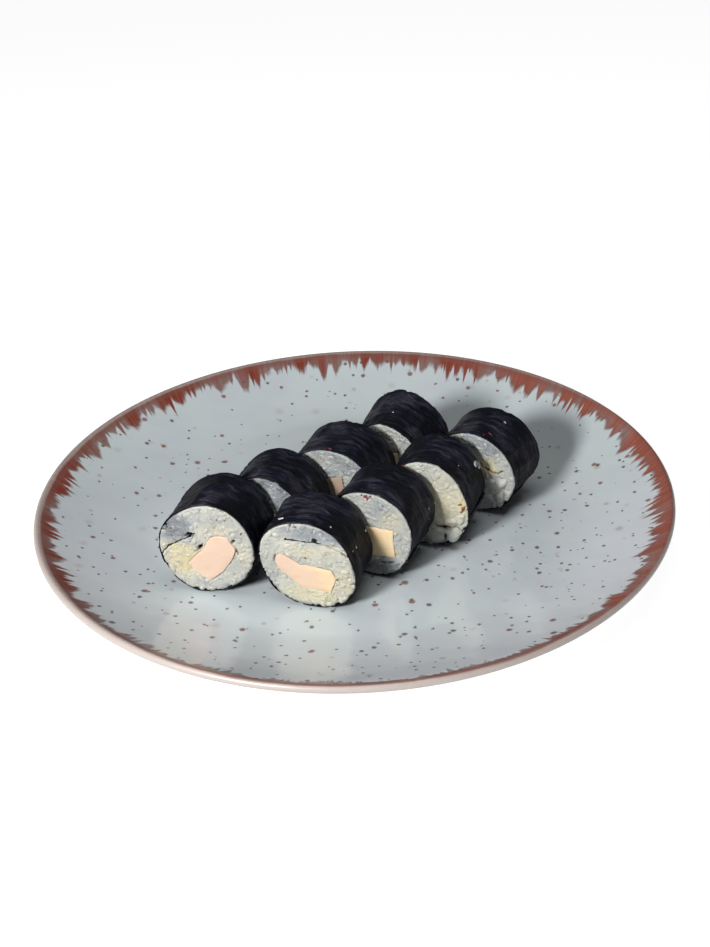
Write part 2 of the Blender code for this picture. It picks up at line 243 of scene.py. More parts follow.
SHEET_THICKNESS = 0.3 * MM        # of the dressed sheet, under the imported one's outside
OVERLAP = 7.0                     # degrees by which the outer end laps the seam
SEAM_DROP = 0.42 * MM             # how far the sheet starts under its own end
TAIL_LEAD = 5.0 * MM              # how far the tail still follows the rim
TANGENT_NUDGE = 0.01              # radians either side of a point, for its tangent
FLOOR_GAP = 0.3 * MM              # air under each roll
RICE_DOME = 0.35 * MM             # how far a cut face stands out in its middle
RICE_RELIEF = 0.3 * MM            # height of the waves in a cut face
LOBE_BULGE = 1.5 * MM             # how far the rice under a tail can swell out
PLATE_STEPS = 20                  # rings in the plate's rising wall
SHEET_COLUMNS = 190               # once round a roll
SHEET_ROWS = 46                   # from its front to its back
TAIL_STEPS = 24
CORE_RINGS = 24
CORE_STEPS = 96                   # segments once round the rice
ROW_PITCH = 0.866                 # of a honeycomb's rows, for a spacing of 1
FACE_REACH = 22 * MM              # no cut face is wider, from its middle
GRAIN_TRIES = 12                  # places and sizes tried for one grain
LEANING_SHARE = 0.06              # of the grains stand up from the cut
LEANING_REACH = 13 * MM           # and only so near the middle
FRONT = 0                         # the front cut face
SIDES = (FRONT, 1)                # and the back one


def rim_radius(roll, angle):
    """Distance from the section's middle to the nori's outside, in a direction."""
    turn = angle - radians(roll.tilt)
    a = roll.half_width * MM
    b = roll.half_height * MM
    ellipse = a * b / hypot(b * cos(turn), a * sin(turn))
    swell3, phase3 = roll.three_lobed
    swell4, phase4 = roll.four_lobed
    lobes = swell3 * cos(3 * turn - radians(phase3)) + swell4 * cos(4 * turn - radians(phase4))
    return ellipse * (1 + lobes)


def middle_height(roll):
    """Height of the section's middle above the roll's lowest line."""
    return max(-rim_radius(roll, pi * i / 180) * sin(pi * i / 180) for i in range(360))


def rim_at(roll, point):
    """The same distance, in the direction of a point."""
    return rim_radius(roll, atan2(point.y, point.x))


def rim_point(roll, angle, inset):
    """Point at a depth under the nori's outside, with its tangent and the way out."""
    before, point, after = (
        rim_radius(roll, t) * Vector((cos(t), sin(t)))
        for t in (angle - TANGENT_NUDGE, angle, angle + TANGENT_NUDGE)
    )
    tangent = (after - before).normalized()
    outward = Vector((tangent.y, -tangent.x))
    return point - inset * outward, tangent, outward


def tail_path(roll):
    """Middle line of the sheet's inner end in the section, tip first."""
    depth = SHEET_THICKNESS / 2 + SEAM_DROP
    start, tangent, outward = rim_point(roll, radians(roll.seam), depth)
    lead = start - roll.wrap * TAIL_LEAD * tangent
    tip = Vector((roll.tail_across * MM, roll.tail_up * MM))
    path = []
    for i in range(TAIL_STEPS):
        t = 1 - i / TAIL_STEPS
        point = (1 - t) ** 2 * start + 2 * t * (1 - t) * lead + t ** 2 * tip
        wander = 0.9 * MM * ripple(8 * t, roll.seam, roll.turned) * min(1.0, 4 * t * (1 - t) + t)
        path.append(point + wander * outward)
    return path + [start]


def relief(roll, x, y, end):
    """How far a cut face stands out at a place in the section."""
    reach = hypot(x, y) / rim_radius(roll, atan2(y, x))
    inside = max(0.0, 1 - reach ** 2)
    bumps = sin(x / (2.3 * MM) + roll.seam + end) * cos(y / (2.9 * MM) + roll.turned)
    edge = min(1.0, 3 * inside)
    height = RICE_DOME * inside + RICE_RELIEF * bumps * edge
    below_tail = roll.tail_up * MM - y
    if end == FRONT and below_tail > 0 and x > 0:
        height += roll.bulge * LOBE_BULGE * min(1.0, below_tail / (2 * MM)) * edge
    return height


def filling_corners(roll):
    """Corners of the filling's cut face, from the section's middle."""
    if roll.name in CUT_CORNERS:
        low = middle_height(roll)
        return [Vector((x * MM, y * MM - low)) for x, y in CUT_CORNERS[roll.name]]
    block = roll.filling
    dice = random.Random(roll.name)
    turn = Matrix.Rotation(radians(block.tilt), 2)
    corners = []
    for x, y in ((-1, -1), (0, -1.02), (1, -1), (1.02, 0), (1, 1), (0, 1.03), (-1, 1), (-1.03, 0)):
        loose = Vector((dice.uniform(-0.5, 0.5), dice.uniform(-0.5, 0.5)))
        place = Vector((x * (block.width - 1) / 2, y * (block.height - 1) / 2)) + loose
        corners.append((turn @ place + Vector((block.across, block.up))) * MM)
    return corners


class Section:
    """One roll's place, and the lines that its pieces keep to."""

    def __init__(self, roll, floor_height):
        self.roll = roll
        self.low = middle_height(roll)
        self.length = roll.length * MM
        self.tail = tail_path(roll)
        self.corners = filling_corners(roll)
        self.pockets = self.ovals(POCKETS)
        self.stains = self.ovals(STAINS)
        self.glassy_and_shaded = self.ovals(GLASSY_AND_SHADED_OVALS)
        self.stand = (
            Matrix.Translation((roll.x * MM, roll.y * MM, floor_height + FLOOR_GAP))
            @ Matrix.Rotation(-radians(roll.turned), 4, "Z")
        )

    def ovals(self, table):
        """This roll's entries, moved to the section's middle and into metres."""
        return [(x * MM, y * MM - self.low, a * MM, b * MM, last)
                for x, y, a, b, last in table.get(self.roll.name, ())]

    def greyness_and_shade(self, point):
        """How grey the rice is painted: patchy glassy rice, greyer near the rim, plus painted shade
        in the rolls and ovals that lie in shadow.
        """
        base = PAINTED_SHADE_RICE.get(self.roll.name, 0.0)
        patch = ripple(point.x / (7 * MM), point.y / (5 * MM), self.roll.x)
        edge = smooth(point.length / rim_at(self.roll, point), 0.72, 1.0)
        level = base + (0.22 + 0.4 * base) * patch + 0.2 * edge + self.soaked(self.glassy_and_shaded, point)
        return max(0.0, min(2.0, level))

    def pocket_level(self, point, room=0.0):
        """Under 1 in a pocket of the front face, which is painted dark as shade, or so close; growing
        outside.
        """
        level = 9.0
        for x, y, a, b, tilt in self.pockets:
            run = Matrix.Rotation(-radians(tilt), 2) @ (point - Vector((x, y)))
            rough = 1 + 0.5 * ripple_at(run, 0.8, self.roll.x)
            level = min(level, hypot(run.x / (a + room), run.y / (b + room)) * rough)
        return level

    def soaked(self, ovals, point):
        """How strongly some of the ovals colour a place."""
        total = 0.0
        for x, y, a, b, strength in ovals:
            reach = hypot((point.x - x) / a, (point.y - y) / b)
            total += strength * smooth(reach, 1.25, 0.3)
        return min(1.5, total)

    def stain(self, point, end):
        """How strongly seasoning colours the rice, on the front face only."""
        return self.soaked(self.stains, point) if end == FRONT else 0.0

    def shut(self, point):
        """1 where the slit along the tail is pressed shut, 0 where it is open."""
        start = TAIL_SHUT.get(self.roll.name)
        if start is None:
            return 0.0
        return smooth(point.x, start * MM, (start + 3) * MM)

    def hold_in(self, point, room=0.0):
        """The same place, or the nearest one so far inside the sheet."""
        angle = atan2(point.y, point.x)
        reach = min(point.length, rim_radius(self.roll, angle) - SHEET_THICKNESS - room)
        return Vector((reach * cos(angle), reach * sin(angle)))

    def place(self, x, y, along):
        """World position of a place in the section, so far from the front face."""
        front = self.roll.front_scale
        scale = front + (1 - front) * along / self.length
        return self.stand @ Vector((x * scale, along, (y + self.low) * scale))

    def skin(self, angle, along, lift):
        """Place over the nori, with the ways round it, along it and out of it."""
        point, tangent, outward = rim_point(self.roll, radians(angle), -lift)
        base = Vector((point.x, point.y, along))
        return base, tangent.to_3d(), Vector((0, 0, 1)), outward.to_3d()

    def face(self, x, y):
        """Place on the front face, with the ways across it, up it and out of it."""
        y = y * MM - self.low
        base = Vector((x * MM, y, -relief(self.roll, x * MM, y, FRONT)))
        return base, Vector((1, 0, 0)), Vector((0, 1, 0)), Vector((0, 0, -1))

    def place_out(self, x, y, out, end):
        """World position so far out from one of the two cut planes."""
        return self.place(x, y, self.length + out if end else -out)


def segment_distance(point, a, b):
    """Distance to a straight line between two points."""
    run = b - a
    t = max(0.0, min(1.0, (point - a).dot(run) / max(run.length_squared, 1e-12)))
    return (point - a - t * run).length


def path_distance(point, path):
    """Distance to a line through several points."""
    return min(segment_distance(point, a, b) for a, b in zip(path, path[1:]))


def outside_distance(point, corners):
    """Distance to a closed outline, negative inside it."""
    loop = corners + corners[:1]
    inside = False
    for a, b in zip(loop, loop[1:]):
        if (a.y > point.y) != (b.y > point.y):
            if point.x < a.x + (point.y - a.y) * (b.x - a.x) / (b.y - a.y):
                inside = not inside
    distance = path_distance(point, loop)
    return -distance if inside else distance


def smooth(value, low, high):
    """0 under low, 1 over high, and an easy curve between."""
    t = max(0.0, min(1.0, (value - low) / (high - low)))
    return t * t * (3 - 2 * t)


def ripple(*place):
    """Smooth noise from about -1 to 1 at a place given in its own wavelengths."""
    return noise.noise(Vector(place))


def ripple_at(point, wave, seed):
    """The same noise in the section, for a wavelength in millimetres."""
    return ripple(point.x / (wave * MM), point.y / (wave * MM), seed)


def sections(context):
    """The rolls, standing on the plate's inside."""
    floor = context.scene.maki_plate.floor_height
    return [Section(roll, floor) for roll in ROLLS]


# ------------ meshes

def mesh_from(bm, name):
    mesh = bpy.data.meshes.new(name)
    bm.to_mesh(mesh)
    bm.free()
    return mesh


def add_object(name, data):
    thing = bpy.data.objects.new(name, data)
    bpy.context.scene.collection.objects.link(thing)
    return thing


def keep(bm, name, material, replaced):
    """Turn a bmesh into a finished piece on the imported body, its faces outward."""
    bm.normal_update()
    bmesh.ops.recalc_face_normals(bm, faces=bm.faces)
    mesh = mesh_from(bm, name)
    mesh.shade_smooth()
    mesh.materials.append(material)
    piece = add_object(name, mesh)
    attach(piece, "root")
    if replaced:
        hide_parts(*replaced)
    return piece


def turned_bmesh(profile, axis, steps):
    """Turn an open profile that starts and ends on the axis into a closed body."""
    bm = bmesh.new()
    verts = [bm.verts.new(point) for point in profile]
    edges = [bm.edges.new(pair) for pair in zip(verts, verts[1:])]
    bmesh.ops.spin(bm, geom=verts + edges, cent=(0, 0, 0), axis=axis, angle=2 * pi,
                   steps=steps, use_merge=True)
    bmesh.ops.remove_doubles(bm, verts=bm.verts, dist=0.001 * MM)
    return bm


# ------------ shader nodes

def arithmetic(operation):
    """Method that joins two shader values by a Math node."""
    return lambda a, b: a.math(operation, a, b)


class Wire:
    """A shader value.  Arithmetic on it adds the Math nodes."""

    def __init__(self, paint, socket):
        self.paint = paint
        self.socket = socket

    def other(self, name):
        """Another output of the same node."""
        return Wire(self.paint, self.socket.node.outputs[name])

    def math(self, operation, *values):
        return self.paint.node("ShaderNodeMath", {"operation": operation}, dict(enumerate(values)))

    __add__ = __radd__ = arithmetic("ADD")
    __mul__ = __rmul__ = arithmetic("MULTIPLY")
    __sub__ = arithmetic("SUBTRACT")
    __truediv__ = arithmetic("DIVIDE")
    __pow__ = arithmetic("POWER")

    def __rsub__(self, other):
        return self.math("SUBTRACT", other, self)


class Paint:
    """Builds one material round its Principled shader."""

    def __init__(self, name, constants):
        self.material = bpy.data.materials.new(name)
        self.material.use_nodes = True
        self.tree = self.material.node_tree
        self.shader = self.tree.nodes["Principled BSDF"]
        for socket, value in constants.items():
            self.shader.inputs[socket].default_value = value

    def node(self, kind, settings, values, output=0):
        """Add a node: its settings first, then the values or links of its sockets."""
        node = self.tree.nodes.new(kind)
        for name, value in settings.items():
            setattr(node, name, value)
        for name, value in values.items():
            self.feed(node.inputs[name], value)
        return Wire(self, node.outputs[output])

    def feed(self, socket, value):
        if isinstance(value, Wire):
            self.tree.links.new(value.socket, socket)
        else:
            socket.default_value = value

    def set(self, socket, value):
        self.feed(self.shader.inputs[socket], value)

    def place(self):
        """Object coordinates."""
        return self.node("ShaderNodeTexCoord", {}, {}, "Object")

    def attribute(self, name):
        return self.node("ShaderNodeAttribute", {"attribute_name": name}, {}, "Fac")

    def split(self, vector):
        """The first two parts of a vector or colour."""
        x = self.node("ShaderNodeSeparateXYZ", {}, {0: vector}, "X")
        return x, x.other("Y")

    def direction(self, x, y):
        """Unit vector towards a place, seen from above."""
        reach = (x * x + y * y) ** 0.5
        return self.node("ShaderNodeCombineXYZ", {}, {0: x / reach, 1: y / reach})

    def vector(self, operation, *values):
        return self.node("ShaderNodeVectorMath", {"operation": operation}, dict(enumerate(values)))

    def noise(self, vector, scale, detail=2.0, roughness=0.5, output=0):
        return self.node("ShaderNodeTexNoise", {}, {
            "Vector": vector, "Scale": scale, "Detail": detail, "Roughness": roughness}, output)

    def cells(self, vector, scale, feature="F1", output="Distance"):
        settings = {"feature": feature, "voronoi_dimensions": "2D"}
        return self.node("ShaderNodeTexVoronoi", settings, {"Vector": vector, "Scale": scale}, output)

    def step(self, value, low, high):
        """0 at low, 1 at high, with an easy curve between; low may be the larger."""
        return self.node("ShaderNodeMapRange", {"interpolation_type": "SMOOTHSTEP"}, {
            "Value": value, "From Min": low, "From Max": high})

    def larger(self, a, b):
        return a.math("MAXIMUM", a, b)

    def cover(self, color, *layers):
        """Lay colours over a colour, each by its own factor."""
        for factor, top in layers:
            values = {0: factor, 6: opaque(color), 7: opaque(top)}
            color = self.node("ShaderNodeMix", {"data_type": "RGBA"}, values, 2)
        return color

    def bump(self, height, strength, distance, normal=None):
        values = {"Height": height, "Strength": strength, "Distance": distance}
        if normal is not None:
            values["Normal"] = normal
        return self.node("ShaderNodeBump", {}, values)


def opaque(color):
    return color if isinstance(color, Wire) else (*color[:3], 1.0)


def linear(code):
    """Linear colour from a six-digit web colour."""
    parts = (int(code[i:i + 2], 16) / 255 for i in (0, 2, 4))
    return tuple(p / 12.92 if p <= 0.04045 else ((p + 0.055) / 1.055) ** 2.4 for p in parts)


# ------------ settings

def measure(name, about, millimetres):
    return FloatProperty(name=name, description=about, default=millimetres * MM, unit="LENGTH",
                         precision=5, min=0.0)


def number(name, about, default):
    return FloatProperty(name=name, description=about, default=default)


def tone(name, about, code):
    return FloatVectorProperty(name=name, description=about, default=linear(code), size=3,
                               subtype="COLOR", min=0.0, max=1.0)


class PlateSettings(bpy.types.PropertyGroup):
    floor_height: measure("Floor height", "Height of the flat inside", 8.0)
    floor_radius: measure("Floor radius", "Where the inside starts to rise", 84.0)
    floor_thickness: measure("Floor thickness", "Wall under the flat inside", 5.0)
    lip_half: measure("Half lip", "Half of the wall's thickness at the lip", 1.7)
    foot_radius: measure("Foot radius", "Outside of the foot ring", 80.0)
    foot_width: measure("Foot width", "Width of the foot ring", 4.0)
    rise_power: number("Rise", "Exponent of the rising wall", 1.6)
    turn_steps: IntProperty(name="Turn steps", description="Segments once round", default=180)
    stroke_length: measure("Stroke length", "Longest brush strokes at the rim", 14.5)
    glaze: tone("Glaze", "Main colour of the glaze", "AFB7B8")
    # Painted light: a paler glaze laid on the front of the rim, where light falls.
    glaze_painted_light: tone("Glaze, thick", "Paler glaze towards the rim", "C6C7CB")
    glaze_cool: tone("Cool glaze", "Bluer drifts in the glaze", "ABB2B6")
    stroke: tone("Strokes", "Iron-red brush strokes", "712F20")
    stroke_light: tone("Light strokes", "Paler red at the right", "8C4A3A")
    stroke_brown: tone("Brown strokes", "Browner, thinner strokes", "6E4A42")
    lip: tone("Lip", "Bare clay showing at the lip", "9F9892")
    speckle: tone("Speckles", "Small dark speckles", "463A3B")
    speckle_red: tone("Red speckles", "Larger reddish speckles", "6E3A31")
    speckle_tan: tone("Tan speckles", "Pale brown soft spots", "958070")


class RollSettings(bpy.types.PropertyGroup):
    wrinkle: measure("Nori wrinkles", "Depth of the sheet's waves", 1.0)
    grain_length: measure("Grain length", "Length of a cooked grain", 5.2)
    grain_width: measure("Grain width", "Width of a cooked grain", 3.0)
    grain_spacing: measure("Grain spacing", "Between neighbouring grains", 2.5)
    core_depth: measure("Core depth", "Rice body under the grains", 0.26)
    nori: tone("Nori", "Main colour of the sheet", "080A11")
    nori_warm: tone("Warm nori", "Purple-brown streaks in the sheet", "2A282F")
    nori_blue: tone("Blue nori", "Bluer patches in the sheet", "090E1D")
    nori_grey: tone("Grey nori", "Light fibres in the sheet", "514D55")
    rice: tone("Rice", "Main colour of the rice", "ABA99C")
    rice_cool: tone("Cool rice", "Greyer grains", "A3A4A0")
    # Glassy grey rice, also laid as painted shade over rice that lies in shadow.
    rice_glass_and_shade: tone("Glassy rice", "Greyer, see-through patches", "84888A")
    # Painted shade: the darkest grey, for rice that lies deep in shadow.
    rice_shade: tone("Rice, deep", "Darkest, glassiest rice", "5F6164")
    rice_warm: tone("Warm rice", "Creamier grains", "B9AF90")
    rice_stain: tone("Stained rice", "Where seasoning has soaked in", "C0B285")
    # Painted shade at the edges of the tail's slit and the pockets.
    rice_hollow: tone("Rice, hollow", "Edge of a dark gap", "6B5E45")
    # Painted shade inside the tail's slit and the pockets.
    rice_gap_shade: tone("Gap", "Inside of a dark gap", "1E1814")
    filling: tone("Filling", "Pink-cream of the filling", "C2A996")
    filling_yellow: tone("Yellow filling", "Its yellower side", "CBB591")
    filling_vein: tone("Filling veins", "Fine darker lines in the filling", "B98D70")
    # Painted shade: the colour of a filling that lies in shadow.
    filling_dull: tone("Filling, dull", "Filling that lies deep", "75685A")
    bit_starch: tone("Starch", "Dried starch on the nori", "B9B7B4")
    bit_red: tone("Red flecks", "Flecks of red seasoning", "86182C")
    bit_brown: tone("Brown specks", "Toasted specks in the rice", "8A5A30")


class StageSettings(bpy.types.PropertyGroup):
    key_power: number("Key light", "Power of the key light in watts", 9.2)
    key_size: measure("Key size", "Width of the key light", 170.0)
    top_power: number("Overhead light", "Power of the wide light overhead in watts", 7.3)
    sky: number("Sky", "Strength of the even light", 0.09)
    focal: number("Lens", "Focal length in millimetres", 53.22)


# ------------ plate

def plate_profile(sizes):
    """Half section, from the top's middle over the lip to the bottom's middle."""
    half = sizes.lip_half
    clear = 0.05 * MM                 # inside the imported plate
    lip_radius = PLATE_HIGH.x - half - clear
    lip_height = PLATE_HIGH.z - half - clear
    rise = lip_height + half - sizes.floor_height
    span = lip_radius - sizes.floor_radius

    def inside(radius):
        run = max(0.0, (radius - sizes.floor_radius) / span)
        return sizes.floor_height + rise * run ** sizes.rise_power

    slope = atan2(sizes.rise_power * (lip_height - sizes.floor_height), span)
    rise_run = lip_radius - half * sin(slope) - sizes.floor_radius
    profile = [(sizes.floor_radius * i / 6, sizes.floor_height) for i in range(6)]
    for i in range(PLATE_STEPS):
        radius = sizes.floor_radius + rise_run * i / PLATE_STEPS
        profile.append((radius, inside(radius)))
    for i in range(11):
        angle = pi / 2 + slope - pi * i / 10
        profile.append((lip_radius + half * cos(angle), lip_height + half * sin(angle)))
    for i in range(PLATE_STEPS - 1, 0, -1):
        part = i / PLATE_STEPS
        radius = sizes.floor_radius + rise_run * part
        wall = sizes.floor_thickness + (2 * half - sizes.floor_thickness) * part
        lean = slope * part
        profile.append((radius + wall * sin(lean), inside(radius) - wall * cos(lean)))
    under = sizes.floor_height - sizes.floor_thickness
    outer = sizes.foot_radius
    inner = outer - sizes.foot_width
    draft = 1.5 * MM
    bead = 0.6 * MM
    profile += [
        (outer + draft, under), (outer + 0.3 * MM, bead), (outer - bead, 0.0),
        (inner + bead, 0.0), (inner - 0.3 * MM, bead), (inner - draft, under),
        (inner / 2, under), (0.0, under),
    ]
    return profile


def rim_strokes(paint, direction, depth, side, longest):
    """Brush teeth that run in from the lip: over 0 on them, and more in their middle."""
    highest = -9.0
    # Teeth round the rim, then the share of the longest from which and to which
    # they go, then a shift that gives each row cells of its own.
    for teeth, short, long, shift in ((11.0, 0.55, 0.9, 3.0), (23.0, 0.45, 1.0, 7.0),
                                      (52.0, 0.4, 0.85, 13.0)):
        around = paint.vector("ADD", direction, (shift, shift * 0.7, 0.0))
        level = paint.cells(around, teeth, "DISTANCE_TO_EDGE") * 2.4
        luck, _ = paint.split(paint.cells(around, teeth, "F1", "Color"))
        length = (luck * (long * longest - short * longest) + short * longest) * side
        tooth = level + 0.5 - 1.5 * (depth / length)
        highest = paint.larger(tooth, highest)
    return highest


def speckles(paint, place, shift, spacing, share, smallest, largest, soft):
    """Round spots of mixed sizes in millimetres, at most one per cell of that spacing."""
    place = paint.vector("ADD", place, (*shift, 0.0))
    near = paint.cells(place, 1 / (spacing * MM))
    luck, other_luck = paint.split(paint.cells(place, 1 / (spacing * MM), "F1", "Color"))
    width = (other_luck ** 2) * ((largest - smallest) / spacing) + smallest / spacing
    return paint.step(near / width, 1.0 + soft, 1.0 - soft) * luck.math("LESS_THAN", luck, share)


def glaze_paint(colors, lip_radius):
    """Pale glaze with speckles, iron-red brush strokes at the rim, a bare lip and painted light on
    the front of the rim.
    """
    paint = Paint("speckled_glaze", {"IOR": 1.55})
    place = paint.place()
    x, y = paint.split(place)
    radius = (x * x + y * y) ** 0.5
    depth = lip_radius - radius
    rightness = x / radius
    backness = y / radius
    wobble = paint.noise(paint.direction(x, y), 7.0, 3.0) - 0.5
    drift = paint.step(paint.noise(place, 22.0, 3.0), 0.4, 0.65)
    # Painted light: the front part of the rim is laid paler, standing in for light.
    painted_front_light = paint.step(radius, 0.08, 0.115) * paint.step(y, 0.03, -0.06)

    # Speckles sit in the glaze, wandering a little off round, most at the front.
    shaken = paint.vector("SUBTRACT", paint.noise(place, 900.0, output="Color"), (0.5, 0.5, 0.5))
    ragged = paint.vector("MULTIPLY", shaken, (0.0011, 0.0011, 0.0011))
    spot_place = paint.vector("ADD", place, ragged)
    front = paint.step(y, 0.07, -0.03) * 0.6 + 0.4
    crowd = paint.step(paint.noise(place, 16.0, 2.0), 0.34, 0.6) * front
    blurred, tan, dark, small, fine, red = (speckles(paint, spot_place, *kind) for kind in (
        ((0.0, 0.0), 19, 0.34, 0.9, 2.0, 0.8),
        ((0.31, 0.12), 13, 0.24, 0.7, 1.5, 0.6),
        ((0.17, 0.43), 9.3, front * 0.4, 0.5, 1.15, 0.4),
        ((0.37, 0.21), 6.1, front * 0.26, 0.36, 0.75, 0.4),
        ((0.71, 0.23), 4.6, crowd * 0.14, 0.18, 0.4, 0.4),
        ((0.53, 0.91), 13, 0.4, 0.65, 1.35, 0.35),
    ))

    # Brush strokes all round, leaning to the front, but short and pale at the front left.
    weak = paint.step(rightness * -0.208 - backness * 0.978, 0.62, 0.95)
    sweep = paint.direction(x, y + depth * 0.45)
    clump = paint.step(paint.noise(sweep, 8.5, 2.0), 0.38, 0.6)
    side = backness * 0.28 + 0.76 + clump * 0.28 - weak * 0.18
    shake = paint.noise(paint.vector("MULTIPLY", place, (1.0, 1.0, 0.2)), 260.0, 2.0) - 0.5
    tooth = rim_strokes(paint, sweep, depth + shake * 0.003, side, colors.stroke_length)
    thin = paint.step(paint.noise(sweep, 80.0, 2.0), 0.36, 0.56)
    strokes = paint.step(tooth, -0.12, 0.32) * (thin * 0.06 + 0.84 + clump * 0.1 - weak * 0.2)
    patchy = (paint.noise(sweep, 24.0, 2.0) - 0.5) * 0.9 + clump * 0.45 - weak * 0.5
    heart = paint.step(tooth * 0.9 + patchy - 0.3, 0.05, 0.75)
    red_side = paint.step(rightness, 0.2, 0.9) * 0.8
    warm = paint.cover(colors.stroke, (red_side, colors.stroke_light))

    # Bare clay shows along the lip, with a darker line beside it, and fades underneath.
    right = paint.step(rightness * 0.985 - backness * 0.174, 0.65, 0.92)
    near = paint.step(backness, -0.6, -0.95)
    width = 1.75 * MM + (y - x) / radius * 0.28 * MM - (right + near) * 1.5 * MM
    edge = paint.step(depth + shake * 0.002, width + 2.6 * MM, width + 1.0 * MM)
    bare = paint.step(depth + wobble * 0.0012, width, width - 1.2 * MM)
    outside = paint.step(depth, 0.2 * MM, -0.8 * MM)
    brown = (thin * 0.2 + 0.32 + rightness * 0.2) * (1 - outside)

    paint.set("Base Color", paint.cover(
        colors.glaze,
        (drift, colors.glaze_cool),
        (painted_front_light * 0.6, colors.glaze_painted_light),
        (blurred * 0.28, colors.speckle_tan),
        (tan * 0.5, colors.speckle_tan),
        (fine * 0.7, colors.speckle),
        (paint.larger(dark, small) * 0.82, colors.speckle),
        (red * 0.8, colors.speckle_red),
        (strokes, paint.cover(colors.stroke_brown, (heart, warm))),
        (edge * (near * 0.35 + 0.45 - right * 0.2), colors.stroke_brown),
        (bare * 0.85, paint.cover(colors.lip, (brown, colors.stroke_brown))),
    ))
    paint.set("Roughness", bare * 0.22 + 0.13 + strokes * 0.06)
    waves = paint.bump(paint.noise(place, 45.0, 2.0), 0.12, 0.004)
    paint.set("Normal", paint.bump(strokes + dark * 0.4, 0.12, 0.0004, waves))
    return paint.material


class MAKI_OT_plate(bpy.types.Operator):
    """Turn the stoneware plate and glaze it"""
    bl_idname = "maki.plate"
    bl_label = "Plate"

    def execute(self, context):
        sizes = context.scene.maki_plate
        profile = [(radius, 0.0, height) for radius, height in plate_profile(sizes)]
        bm = turned_bmesh(profile, (0, 0, 1), sizes.turn_steps)
        material = glaze_paint(sizes, PLATE_HIGH.x - sizes.lip_half)
        keep(bm, "dish", material, ["plate"])
        return {"FINISHED"}


# ------------ nori

def nori_paint(colors):
    """Dark sheet with fibres that run round the roll."""
    paint = Paint("nori", {"IOR": 1.4, "Specular IOR Level": 0.2})
    along = paint.node("ShaderNodeUVMap", {"uv_map": "sheet"}, {})
    sway = paint.noise(along, 90.0, output="Color")
    bent = paint.vector("ADD", along, paint.vector("MULTIPLY", sway, (0.012, 0.008, 0.0)))
    streaks = paint.noise(paint.vector("MULTIPLY", bent, (75.0, 380.0, 1.0)), 1.0, 4.0, 0.6)
    fibres = paint.noise(paint.vector("MULTIPLY", along, (330.0, 1500.0, 1.0)), 1.0, 2.0, 0.6)
    patches = paint.noise(paint.place(), 75.0, 3.0)
    light = paint.step(streaks + (patches - 0.5) * 0.9, 0.48, 0.76)
    fine = paint.step(fibres, 0.5, 0.72)
    paint.set("Base Color", paint.cover(
        colors.nori,
        (paint.step(patches, 0.42, 0.6), colors.nori_blue),
        (light, colors.nori_warm),
        (fine * light * 0.7, colors.nori_grey),
    ))
    paint.set("Roughness", 0.56 - light * 0.16)
    creases = paint.bump(streaks, 0.75, 0.0016)
    paint.set("Normal", paint.bump(fibres, 0.35, 0.0004, creases))
    return paint.material


def edge_shrink(arc, seed, inward):
    """How many millimetres the sheet's edge falls short of the cut."""
    shrink = 0.3 + 0.3 * ripple(arc / (5 * MM), seed, inward)
    shrink += 0.25 * ripple(arc / (1.7 * MM), seed + 4, inward)
    return shrink + 0.9 * smooth(ripple(arc / (4 * MM), seed + 8, inward), 0.25, 0.6)


def wrinkle_depth(arc, along, seed):
    """From 0 to 1, how deep the sheet lies: long ridges with finer folds on them."""
    arc, along = arc / MM, along / MM
    ridge = abs(ripple(arc / 10, along / 24, seed))
    wave = (min(1.0, 2.8 * ridge) * 0.75
            + ripple(arc / 7, along / 2.6, seed + 9) * 0.3
            + ripple(arc / 4, along / 1.1, seed + 5) * 0.13)
    return min(1.0, max(0.0, 0.1 + wave))


def sheet_piece(section, sizes, material):
    """Nori sheet from the tail's tip once round the rice, with shallow waves."""
    roll = section.roll
    seed = roll.seam + roll.turned
    sweep = 2 * pi + radians(OVERLAP)
    # Points of the sheet's line, with the way out of the roll where it lies on the rim.
    path = [(point, None) for point in section.tail[:-1]]
    for i in range(SHEET_COLUMNS + 1):
        part = i / SHEET_COLUMNS
        angle = radians(roll.seam) + roll.wrap * sweep * part
        inset = SHEET_THICKNESS / 2 + SEAM_DROP * smooth(part, 0.09, 0.02)
        point, _, outward = rim_point(roll, angle, inset)
        path.append((point, outward))
    arcs = [0.0]
    for (a, _), (b, _) in zip(path, path[1:]):
        arcs.append(arcs[-1] + (b - a).length)

    columns = len(path) - 1
    bm = bmesh.new()
    bmesh.ops.create_grid(bm, x_segments=columns, y_segments=SHEET_ROWS, size=1.0)
    layer = bm.loops.layers.uv.new("sheet")
    spots = {}                        # where each point is on the unrolled sheet
    for vert in bm.verts:
        i = round((vert.co.x + 1) / 2 * columns)
        along = section.length * (vert.co.y + 1) / 2
        point, outward = path[i]
        arc = arcs[i]
        spots[vert] = (arc, along)
        near_edge = min(along, section.length - along)
        inward = 1 if vert.co.y < 0 else -1
        if outward is None:
            shrink = 0.25 + 0.7 * ripple(arc / (1.5 * MM), seed, inward)
            shrink += 2.2 * section.shut(point)
        else:
            shrink = edge_shrink(arc, seed, inward)
        along += inward * shrink * MM * smooth(near_edge, 5 * MM, 0.0)
        if outward is not None:
            depth = wrinkle_depth(arc, along, seed) * sizes.wrinkle
            point = point - depth * (0.3 + 0.7 * smooth(near_edge, 0.0, 3 * MM)) * outward
        vert.co = section.place(point.x, point.y, along)
    for face in bm.faces:
        for loop in face.loops:
            loop[layer].uv = spots[loop.vert]
    piece = keep(bm, "sheet_" + roll.name, material, ["nori_" + roll.name])
    solidify = piece.modifiers.new("Thickness", "SOLIDIFY")
    solidify.thickness = SHEET_THICKNESS
    solidify.offset = 0.0
    solidify.use_even_offset = True


class PerRoll:
    """What the steps share that make one piece for each roll."""

    def execute(self, context):
        sizes = context.scene.maki_rolls
        material = self.paint(sizes)
        for section in sections(context):
            self.piece(section, sizes, material)
        return {"FINISHED"}


